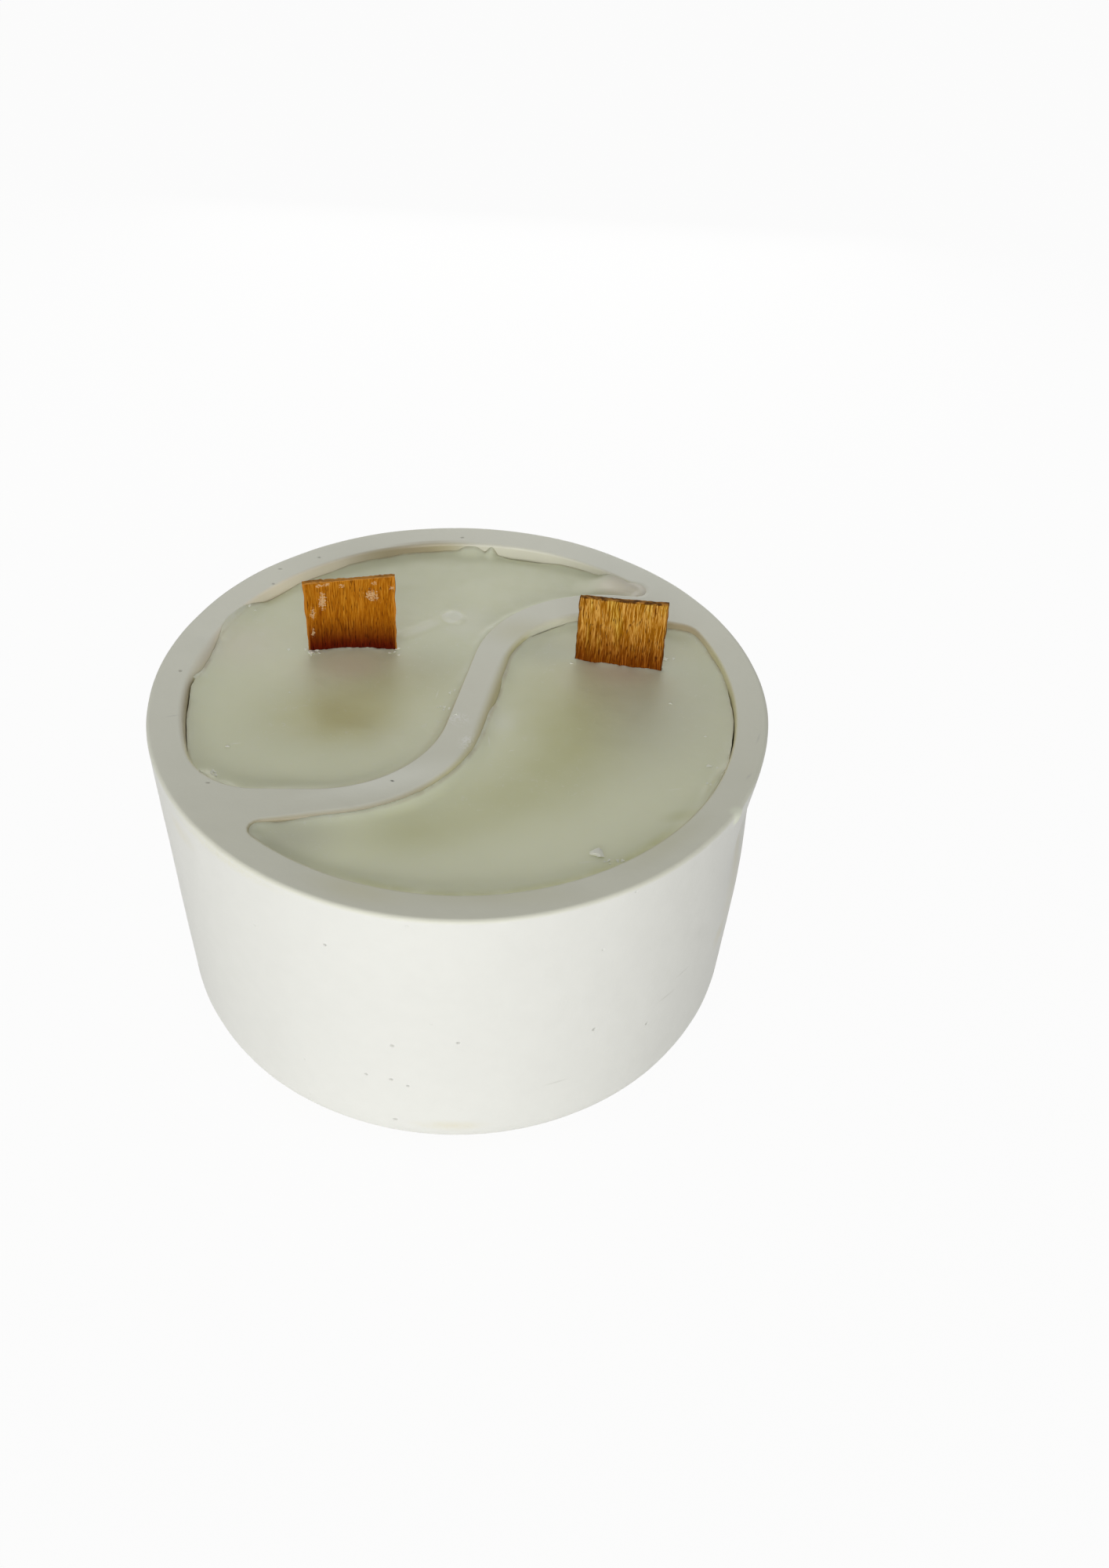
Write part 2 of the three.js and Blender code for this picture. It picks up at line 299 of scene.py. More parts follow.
class Well:
    """A well on one side (1 left, -1 right) of the dividing wall, with the edge of its opening."""

    def __init__(self, side, lower_corner, upper_corner, lips, widenings):
        self.side = side
        self.lower_corner = lower_corner * MM
        self.upper_corner = upper_corner * MM
        outline = self.outline(0, WAX_LEVEL, WAX_CELL)
        corners = outline.data.vertices
        self.edge = np.array([corners[index].co for index in outline.data.polygons[0].vertices])
        along = np.roll(self.edge, -1, axis=0) - np.roll(self.edge, 1, axis=0)
        inwards = np.stack([-along[:, 1], along[:, 0], 0 * along[:, 0]], axis=1)
        self.inwards = inwards / np.linalg.norm(inwards, axis=1)[:, None]
        self.lips = gather(self.edge, USUAL_LIP, lips)
        self.widening = gather(self.edge, 0, widenings)
        self.tree = KDTree(len(self.edge))
        for index, point in enumerate(self.edge):
            self.tree.insert(point, index)
        self.tree.balance()
        bpy.data.objects.remove(outline)

    def outline(self, grow, height, facet=FACET):
        """A flat face with the outline of the opening, grown by so much."""
        side = self.side
        offset = DIVIDER_WIDTH / 2 - grow
        inside = RIM_RADIUS - RIM_WIDTH + grow
        middle = heading(MIDDLE_HEADING)
        lower = heading(LOWER_HEADING - side * RUN_FLARE)
        upper = heading(UPPER_HEADING + side * RUN_FLARE)
        lower_centre = DIVIDER_MIDDLE - middle * MIDDLE_LENGTH / 2 + left_of(middle) * LOWER_BEND
        upper_centre = DIVIDER_MIDDLE + middle * MIDDLE_LENGTH / 2 - left_of(middle) * UPPER_BEND
        lower_radius = LOWER_BEND - side * offset
        upper_radius = UPPER_BEND + side * offset
        lower_start = lower_centre - left_of(lower) * lower_radius
        upper_end = upper_centre + left_of(upper) * upper_radius

        def corner(start, direction, into, radius):
            """A corner between a run and the rim: its centre and where it touches them."""
            reach = start + into * radius
            along = reach.dot(direction)
            centre = reach + direction * (
                sqrt(along ** 2 - reach.length_squared + (inside - radius) ** 2) - along)
            return centre, centre - into * radius, centre.normalized() * inside

        def sweep(centre, start, end):
            first, last = start - centre, end - centre
            turn = side * atan2(first.cross(last).z, first.dot(last))
            return side * (turn % (2 * pi))

        lower_corner, lower_touch, lower_rim = corner(
            lower_start, -lower, side * left_of(lower), self.lower_corner + grow)
        upper_corner, upper_touch, upper_rim = corner(
            upper_end, upper, side * left_of(upper), self.upper_corner + grow)

        lift = UP * height
        pen = Pen("outline", lower_touch + lift, facet)
        pen.run(lower_start + lift)
        pen.bend(lower_centre + lift, MIDDLE_HEADING - LOWER_HEADING + side * RUN_FLARE)
        pen.run(upper_centre + left_of(middle) * upper_radius + lift)
        pen.bend(upper_centre + lift, UPPER_HEADING + side * RUN_FLARE - MIDDLE_HEADING)
        pen.run(upper_touch + lift)
        pen.bend(upper_corner + lift, sweep(upper_corner, upper_touch, upper_rim))
        pen.bend(lift, sweep(Vector(), upper_rim, lower_rim))
        pen.bend(lower_corner + lift, sweep(lower_corner, lower_rim, lower_touch))
        return pen.close()

    def near(self, points):
        """For each point, its nearest place on the edge and how far inside that it is."""
        flat = points * (1, 1, 0) + (0, 0, WAX_LEVEL)
        nearest = np.array([self.tree.find(point)[1] for point in flat])
        return nearest, ((flat - self.edge[nearest]) * self.inwards[nearest]).sum(axis=1)

    def down_lip(self, points):
        """For each point, 0 at the edge of the opening and 1 at the lower end of its lip."""
        nearest, inside = self.near(points)
        widening = self.widening[nearest]
        return (inside + widening) / (self.lips[nearest] + widening)

    def room(self, gap, spread):
        """The room in the well, `gap` clear of the cup, and wider by `spread` above the rim."""
        piece = self.outline(spread - gap, CUP_HEIGHT + gap)
        edit(piece)
        extrude(UP * 3 * MM)
        bpy.ops.mesh.select_all(action="SELECT")
        bpy.ops.mesh.normals_make_consistent(inside=False)
        select_faces(piece, lambda centre, normal: normal.z < -0.9)
        if spread:
            bpy.ops.mesh.inset(thickness=spread, depth=0)
        lip_steps = 6
        angles = [step / lip_steps * pi / 2 for step in range(lip_steps + 1)]
        for start, end in zip(angles, angles[1:]):
            inwards = LIP * (sin(end) - sin(start))
            down = LIP * (cos(start) - cos(end))
            bpy.ops.mesh.inset(thickness=inwards, depth=down)
        floor_edge = 0.4 * MM
        bpy.ops.mesh.inset(thickness=WALL_TAPER, depth=CUP_HEIGHT - LIP - FLOOR_THICKNESS - floor_edge)
        bpy.ops.mesh.inset(thickness=floor_edge, depth=floor_edge)
        leave_edit()
        points = points_of(piece)
        nearest, inside = self.near(points)
        lips = self.lips[nearest]
        widening = self.widening[nearest]
        on_lip = np.clip((inside - gap) / LIP, 0, 1)
        shift = on_lip * (lips - LIP) - (1 - on_lip) * widening
        points += self.inwards[nearest] * shift[:, None]
        below = CUP_HEIGHT + gap - points[:, 2]
        rounded = (below > 0) & (below < LIP * 1.01)
        points[:, 2] -= np.where(rounded, below * ((lips + widening) / LIP - 1), 0)
        move_points(piece, points)
        return piece


# Cup

# Places (x, y, z), reach and depth in millimetres. A negative depth stands out.
DENTS = [
    (41.7, -12.3, 40.8, 7.2, 1.6),
    (37.1, -23.2, 50.7, 0.9, -0.4),
    (34.3, -25.6, 31.5, 1.3, 0.22),
    (31.9, -28.7, 34.6, 1.1, 0.16),
]

# Soft hollows in the rim: places (x, y), reach and depth in millimetres
HOLLOWS = [(-37.8, 13.6, 2.2, 0.25), (-36.4, 18.0, 2.6, 0.12)]


def cup_blank():
    """The outer form, spun from a profile whose top is divided so that it can be shaped."""
    def side_at(height):
        return RIM_RADIUS - (CUP_HEIGHT - height) * tan(SIDE_DRAFT)

    def round_centre(radius, height):
        return Vector((side_at(height) - radius / cos(SIDE_DRAFT), 0, height))

    base = round_centre(BASE_CORNER, BASE_CORNER)
    rim = round_centre(RIM_OUTER_ROUND, CUP_HEIGHT - RIM_OUTER_ROUND)
    out = Vector((cos(SIDE_DRAFT), 0, -sin(SIDE_DRAFT)))
    across = Vector((0, -1, 0))
    pen = Pen("cup_body", (0, 0, 0))
    pen.run((base.x, 0, 0), steps=5)
    pen.bend(base, pi / 2 - SIDE_DRAFT, steps=10, axis=across)
    pen.run(rim + out * RIM_OUTER_ROUND, steps=48)
    pen.bend(rim, pi / 2 + SIDE_DRAFT, steps=6, axis=across)
    pen.run((0, 0, CUP_HEIGHT), steps=36)
    bpy.ops.mesh.select_all(action="SELECT")
    bpy.ops.mesh.spin(steps=TURN_STEPS, angle=2 * pi, center=(0, 0, 0), axis=UP)
    leave_edit()
    return settle(pen.piece)


def cup_body(wells):
    piece = cup_blank()
    for well in wells:
        carve(piece, well.room(0, 0))
    points = points_of(piece)
    wobble = ripple(points, 16 * MM, 0.12 * MM) + ripple(points, 5 * MM, 0.03 * MM, seed=2)
    outwards = points * (1, 1, 0)
    outwards /= np.maximum(np.linalg.norm(outwards, axis=1), MM)[:, None]
    depth = -wobble
    for x, y, z, reach, deep in DENTS:
        away = np.linalg.norm(points - np.array((x, y, z)) * MM, axis=1) / (reach * MM)
        depth += deep * MM * np.exp(-away ** 2)
    side_from = 40.6 * MM
    top_from = CUP_HEIGHT - 1.4 * MM
    foot = 4 * MM
    on_side = np.hypot(points[:, 0], points[:, 1]) > side_from
    above_foot = np.clip(points[:, 2] / foot, 0, 1)
    on_top = points[:, 2] > top_from
    points -= outwards * (depth * on_side * above_foot)[:, None]
    points[:, 2] += wobble * 0.5 * on_top
    for x, y, reach, deep in HOLLOWS:
        points[:, 2] -= deep * MM * np.exp(-plan_away(points, x, y, reach) ** 2) * on_top
    move_points(piece, points)
    smooth(piece)
    store(piece, "down_lip", np.max([well.down_lip(points) for well in wells], axis=0))
    return piece


# Wax


def wax_block(well, reach, wall):
    """The well's room in an outline that passes the wall by a reach, or falls short of it at a crack."""
    block = well.outline(0, WAX_LEVEL, WAX_CELL)
    points = points_of(block)
    order = list(block.data.polygons[0].vertices)
    points[order] = well.edge + well.inwards * (wall - reach)[:, None]
    points[:, 2] = FLOOR_THICKNESS
    move_points(block, points)
    edit(block)
    extrude(UP * CUP_HEIGHT)
    leave_edit()
    settle(block)
    return carve(block, well.room(WAX_GAP, OVERFLOW), "INTERSECT")


def wax_fill(name, well, wick, rise, climbs, cracks, levels, swells):
    """A fill: a fine sheet sculpted to the surface of the set wax, cut to the room in the well.
    It climbs the wall by `rise` and by other heights at some places, has left the wall at the cracks,
    stands higher at the levels and has small lumps at the swells."""
    seed = wick["seed"]
    narrowest_crack = 0.06 * MM
    meniscus_width = 2.4 * MM
    margin = 3 * MM
    climb = gather(well.edge, rise, climbs)
    uneven = ripple(well.edge, 5 * MM, 0.2 * MM, seed) + ripple(well.edge, 1.3 * MM, 0.07 * MM, seed)
    climb += uneven * np.clip((CUP_HEIGHT - WAX_LEVEL - climb) / (0.5 * MM), 0.1, 1)
    gap = gather(well.edge, 0, cracks)
    gap *= 1 + ripple(well.edge, 1.6 * MM, 0.5, seed + 1) + ripple(well.edge, 0.5 * MM, 0.3, seed + 1)
    reach = np.where(gap > narrowest_crack, -gap, OVERFLOW + LIP)
    block = wax_block(well, reach, well.lips)

    low, high = well.edge.min(axis=0) - margin, well.edge.max(axis=0) + margin
    size = high - low
    deselect_all()
    bpy.ops.mesh.primitive_grid_add(
        x_subdivisions=ceil(size[0] / WAX_CELL), y_subdivisions=ceil(size[1] / WAX_CELL),
        size=1, location=((low[0] + high[0]) / 2, (low[1] + high[1]) / 2, WAX_LEVEL))
    sheet = bpy.context.object
    sheet.name = name
    sheet.scale = (size[0], size[1], 1)
    bpy.ops.object.transform_apply(location=True, rotation=False, scale=True)
    points = points_of(sheet)
    flat = points.copy()
    nearest, inside = well.near(flat)
    from_wall = inside - well.lips[nearest]
    edge_height = climb[nearest]
    level = gather(flat, 0, levels)
    meniscus = (edge_height - level) * np.clip(1 - from_wall / meniscus_width, 0, 1) ** 2.4
    points[:, 2] += np.where(from_wall > 0, level + meniscus, edge_height + 0.08 * from_wall)
    points[:, 2] += ripple(flat, 13 * MM, 0.16 * MM, seed) + ripple(flat, 3.5 * MM, 0.03 * MM)
    points[:, 2] += gather(flat, 0, swells)
    points[:, 2] += wick_meniscus(flat, wick)
    move_points(sheet, points)

    edit(sheet)
    bpy.ops.mesh.select_all(action="DESELECT")
    bpy.ops.mesh.select_mode(type="EDGE")
    bpy.ops.mesh.select_non_manifold()
    extrude(-UP * CUP_HEIGHT)
    bpy.ops.mesh.edge_face_add()
    leave_edit()
    settle(sheet)
    carve(sheet, block, "INTERSECT")
    for tool in wick_rooms(wick):
        carve(sheet, tool)
    drop_slivers(sheet)
    smooth(sheet, radians(40))
    nearest, inside = well.near(points_of(sheet))
    store(sheet, "from_wall", (inside - well.lips[nearest]) / MM)
    return sheet


def to_wick(points, wick):
    """Plan places of points in the wick's own axes: along its width and through it."""
    away = points[:, :2] - np.array(wick["place"].xy)
    x, y = cos(wick["turn"]), sin(wick["turn"])
    return away[:, 0] * x + away[:, 1] * y, away[:, 1] * x - away[:, 0] * y


def bow(along, wick):
    return wick["cupping"] * np.sin(np.pi * np.clip(along / WICK_WIDTH + 0.5, 0, 1))


def wick_meniscus(points, wick):
    """The wax's uneven climb round the foot of a wick."""
    along, through = to_wick(points, wick)
    past_end = np.maximum(np.abs(along) - WICK_WIDTH / 2, 0)
    away = np.hypot(past_end, np.maximum(np.abs(through - bow(along, wick)) - WICK_THICKNESS / 2, 0))
    foot = np.stack([along, np.sign(through) * MM, 0 * along], axis=1)
    uneven = ripple(foot, 1.5 * MM, 0.25 * MM, wick["seed"]) + ripple(foot, 0.45 * MM, 0.16 * MM)
    width = 1.5 * MM
    return (0.06 * MM + uneven) * np.clip(1 - away / width, 0, 1) ** 2


def wick_rooms(wick):
    """Solids that cut the room for a wick and its clip out of the wax, down to the floor."""
    gap = 0.3 * MM
    length, sheet_width, ridge_width = CLIP_ROOM
    rooms = []
    for width, top in ((sheet_width, WICK_FOOT + gap), (ridge_width, CLIP_TOP + gap)):
        deselect_all()
        bpy.ops.mesh.primitive_cube_add(size=1, location=wick["place"] + UP * top / 2)
        room = bpy.context.object
        room.scale = (length, width, top)
        room.rotation_euler.z = wick["turn"]
        rooms.append(settle(room))
    rooms.append(wick_strip("room", wick, 24, 8, 0.05 * MM))
    return rooms


def wax_crumbs(solids):
    """Flakes and crumbs that lie on the wax and the cup, each a small lump squashed and roughened."""
    chance = random.Random(5)
    crumbs = []
    for x, y, size, count in CRUMBS:
        for _ in range(count):
            spread = 0 if count == 1 else size * 1.6
            aside, back = chance.uniform(-spread, spread), chance.uniform(-spread, spread)
            place = Vector((x + aside, y + back, 0)) * MM
            width = size * chance.uniform(0.7, 1.6) * MM
            above = place + UP * (CUP_HEIGHT + 5 * MM)
            hits = [under.ray_cast(above, -UP) for under in solids]
            tops = [hit[1].z for hit in hits if hit[0]]
            deselect_all()
            bpy.ops.mesh.primitive_ico_sphere_add(subdivisions=2, radius=0.5, location=(0, 0, 0))
            crumb = bpy.context.object
            points = points_of(crumb)
            points *= 1 + ripple(points, 0.4, 0.4, chance.uniform(0, 9))[:, None]
            points *= (1 + 0.3 * np.cos(3 * np.arctan2(points[:, 1], points[:, 0]) + pi))[:, None]
            points *= np.array((1, chance.uniform(0.5, 0.9), chance.uniform(0.12, 0.25))) * width
            move_points(crumb, points)
            crumb.location = (place.x, place.y, max(*tops, WAX_LEVEL) + 0.05 * width)
            crumb.rotation_euler.z = chance.uniform(0, pi)
            crumbs.append(crumb)
    piece = crumbs[0]
    activate(piece)
    for crumb in crumbs[1:]:
        crumb.select_set(True)
    bpy.ops.object.join()
    piece.name = "wax_crumbs"
    settle(piece)
    smooth(piece, radians(50))
    return piece


# Wicks


def wick_top(across, wick):
    """Height of the top edge above the wax, from 0 at the left end to 1 at the right end."""
    height = wick["left_height"] * (1 - across) + wick["right_height"] * across
    return height - wick["top_dip"] * np.sin(np.pi * across)


def wick_strip(name, wick, columns, rows, grow=0.0):
    """A thin strip, bowed above its clip, with its rows closer together above the wax."""
    deselect_all()
    bpy.ops.mesh.primitive_grid_add(
        x_subdivisions=columns, y_subdivisions=rows, size=1, rotation=(pi / 2, 0, 0))
    piece = bpy.context.object
    piece.name = name
    bpy.ops.object.transform_apply(location=False, rotation=True, scale=False)
    finish_modifier(piece, "SOLIDIFY", thickness=WICK_THICKNESS + 2 * grow, offset=0)
    points = points_of(piece)
    across = points[:, 0] + 0.5
    up = points[:, 2] + 0.5
    hidden_rows = 0.15
    split = WAX_LEVEL - MM - WICK_FOOT
    height = wick_top(across, wick) + MM + grow
    points[:, 2] = WICK_FOOT + np.where(
        up < hidden_rows, split * up / hidden_rows, split + height * (up - hidden_rows) / (1 - hidden_rows))
    bowed = np.clip((points[:, 2] - CLIP_TOP) / (WAX_LEVEL - CLIP_TOP), 0, 1)
    points[:, 1] += bow((across - 0.5) * WICK_WIDTH, wick) * bowed
    points[:, 0] = (across - 0.5) * (WICK_WIDTH + 2 * grow)
    above = np.maximum(points[:, 2] - WAX_LEVEL, 0)
    points[:, 0] *= 1 + wick["flare"] * above / wick["right_height"]
    points[:, 0] += wick["lean"] * above
    move_points(piece, points)
    piece.location = wick["place"]
    piece.rotation_euler.z = wick["turn"]
    return settle(piece)


def wooden_wick(name, wick):
    """A strip of veneer with fibres that stand out of its faces and with ragged edges."""
    piece = wick_strip(name, wick, 172, 120)
    points = points_of(piece)
    along, through = to_wick(points, wick)
    above = points[:, 2] - WAX_LEVEL
    shown = np.clip(above / (0.5 * MM), 0, 1)
    straight = along - wick["lean"] * np.maximum(above, 0)
    across = np.clip(straight / WICK_WIDTH + 0.5, 0, 1)
    to_top = wick_top(across, wick) - above

    fibres = np.stack([along / 0.4, through, above / 4], axis=1)
    relief = ripple(fibres, MM, 0.05 * MM, wick["seed"]) * shown
    face = np.sign(through - bow(straight, wick))
    turned = np.array((-sin(wick["turn"]), cos(wick["turn"]), 0))
    points += turned * (relief * face)[:, None]

    edges = np.stack([0 * along, through, above / 1.5], axis=1)
    at_side = np.clip(np.abs(straight) / (0.25 * MM) - (WICK_WIDTH / 2 - 0.3 * MM) / (0.25 * MM), 0, 1)
    fray = ripple(edges, MM, 0.14 * MM, wick["seed"] + 2) * at_side * shown
    sideways = np.array((cos(wick["turn"]), sin(wick["turn"]), 0))
    points += sideways * (fray * np.sign(straight))[:, None]

    tear = ripple(np.stack([along, through, 0 * along], axis=1), 0.5 * MM, wick["ragged"], wick["seed"] + 4)
    for place, reach, height in wick["tears"]:
        tear += height * MM * np.exp(-np.minimum(((along / MM - place) / reach) ** 4, 50))
    points[:, 2] += tear * np.clip(1 - to_top / (0.5 * MM), 0, 1)
    move_points(piece, points)
    smooth(piece, radians(50))
    return piece


# Materials


class Signal:
    """An output in a node tree. Python operators on it add Math nodes."""

    def __init__(self, nodes, socket):
        self.nodes = nodes
        self.socket = socket

    def math(self, operation, first, second=0.0):
        return self.nodes.add("Math", {0: first, 1: second}, operation=operation)["Value"]

    def __add__(self, other):
        return self.math("ADD", self, other)

    def __radd__(self, other):
        return self.math("ADD", other, self)

    def __sub__(self, other):
        return self.math("SUBTRACT", self, other)

    def __rsub__(self, other):
        return self.math("SUBTRACT", other, self)

    def __mul__(self, other):
        return self.math("MULTIPLY", self, other)

    def __rmul__(self, other):
        return self.math("MULTIPLY", other, self)

    def __truediv__(self, other):
        return self.math("DIVIDE", self, other)

    def __pow__(self, other):
        return self.math("POWER", self, other)

    def larger(self, other):
        return self.math("MAXIMUM", self, other)

    def smaller(self, other):
        return self.math("MINIMUM", self, other)

    def size(self):
        return self.math("ABSOLUTE", self)


class Outputs:
    def __init__(self, nodes, node):
        self.nodes = nodes
        self.node = node

    def __getitem__(self, key):
        return Signal(self.nodes, self.node.outputs[key])


class Nodes:
    """The node tree of a material or a world, under construction."""

    def __init__(self, owner):
        owner.use_nodes = True
        self.tree = owner.node_tree

    def add(self, kind, inputs=None, **settings):
        """Any node: its type, the values or links of its sockets, and its settings."""
        node = self.tree.nodes.new("ShaderNode" + kind)
        for name, value in settings.items():
            setattr(node, name, value)
        for key, value in (inputs or {}).items():
            self.feed(node.inputs[key], value)
        return Outputs(self, node)

    def feed(self, socket, value):
        if isinstance(value, Signal):
            self.tree.links.new(value.socket, socket)
        elif isinstance(value, tuple) and len(value) == 3 and socket.type == "RGBA":
            socket.default_value = (*value, 1)
        else:
            socket.default_value = value

    def show_white(self, usual, white, strength, output):
        """Ends in the white where the camera or a reflection looks, and in the usual node elsewhere."""
        path = self.add("LightPath")
        seen = path["Is Camera Ray"].larger(path["Is Glossy Ray"]).larger(path["Is Transmission Ray"])
        mixed = self.add("MixShader", {0: seen * strength, 1: Outputs(self, usual)[0], 2: white[0]})
        self.feed(self.tree.nodes[output].inputs["Surface"], mixed[0])


class Finish(Nodes):
    """A material under construction, whose colour is laid on in layers.
    A patch that gives no height lies at the finish's level and is as deep as its usual depth."""

    def __init__(self, name, level=0.0, depth=0.0):
        self.material = bpy.data.materials.new(name)
        super().__init__(self.material)
        self.shader = self.tree.nodes["Principled BSDF"]
        scaled = {0: self.add("TexCoord")["Object"], "Scale": 1 / MM}
        self.place = self.add("VectorMath", scaled, operation="SCALE")["Vector"]
        self.x, self.y, self.z = self.split(self.place)
        self.level = level / MM
        self.depth = depth
        self.colour = None
        self.normal = None

    def layer(self, share, colour, blend="MIX"):
        self.colour = self.mix(share, self.colour, colour, blend)

    def dent(self, height, distance):
        """Dents the surface by `height` times a distance in millimetres."""
        inputs = {"Height": height, "Distance": distance * MM}
        if self.normal:
            inputs["Normal"] = self.normal
        self.normal = self.add("Bump", inputs)["Normal"]

    def done(self, **values):
        """Gives the shader the colour, the dents and the other values, and returns the material."""
        self.feed(self.shader.inputs["Base Color"], self.colour)
        if self.normal:
            self.feed(self.shader.inputs["Normal"], self.normal)
        for name, value in values.items():
            self.feed(self.shader.inputs[name.replace("_", " ").title().replace("Ior", "IOR")], value)
        return self.material

    def stored(self, name):
        return self.add("Attribute", attribute_name=name)["Fac"]

    def split(self, vector):
        parts = self.add("SeparateXYZ", {0: vector})
        return parts["X"], parts["Y"], parts["Z"]

    def join(self, x, y, z):
        return self.add("CombineXYZ", {0: x, 1: y, 2: z})["Vector"]

    def noise(self, scale, detail=2.0, roughness=0.5, vector=None, distortion=0.0):
        """Clouds from 0 to 1, with `scale` of them a millimetre."""
        return self.add("TexNoise", {
            "Vector": vector or self.place, "Scale": scale, "Detail": detail,
            "Roughness": roughness, "Distortion": distortion})["Fac"]

    def fade(self, value, start, end, low=0.0, high=1.0):
        """Goes smoothly from low to high as the value goes from start to end."""
        inputs = {"Value": value, "From Min": start, "From Max": end, "To Min": low, "To Max": high}
        return self.add("MapRange", inputs, interpolation_type="SMOOTHSTEP")["Result"]

    def ramp(self, value, *stops):
        """The colour at a value between stops, each (position, colour)."""
        outputs = self.add("ValToRGB", {0: value})
        elements = outputs.node.color_ramp.elements
        while len(elements) < len(stops):
            elements.new(0.5)
        for element, (position, colour) in zip(elements, stops):
            element.position = position
            element.color = (*colour, 1)
        return outputs["Color"]

    def mix(self, factor, first, second, blend="MIX"):
        inputs = {0: factor, 6: first, 7: second}
        return self.add("Mix", inputs, data_type="RGBA", blend_type=blend)[2]

    def local(self, origin, turn, size=(1, 1, 1), vector=None):
        """Places in axes that are moved, turned and scaled."""
        return self.add("Mapping", {
            "Vector": vector or self.place, "Location": origin, "Rotation": (0, 0, turn),
            "Scale": size}, vector_type="TEXTURE")["Vector"]

    def patch(self, centre, size, turn=0.0, vector=None):
        """1 in the middle of an egg-shaped patch and 0 outside it. Millimetres."""
        local = self.local((*centre, self.level)[:3], radians(turn), (*size, self.depth)[:3], vector)
        return self.fade(self.add("VectorMath", {0: local}, operation="LENGTH")["Value"], 1, 0)

    def patches(self, *patches, vector=None):
        """The largest of several patches, each (centre, size) or (centre, size, turn)."""
        return reduce(Signal.larger, [self.patch(*patch, vector=vector) for patch in patches])

    def cloud(self, *patches):
        """A share of the sum of several patches, at most 1."""
        return (reduce(Signal.__add__, [self.patch(*patch) for patch in patches]) * 0.6).smaller(1.0)


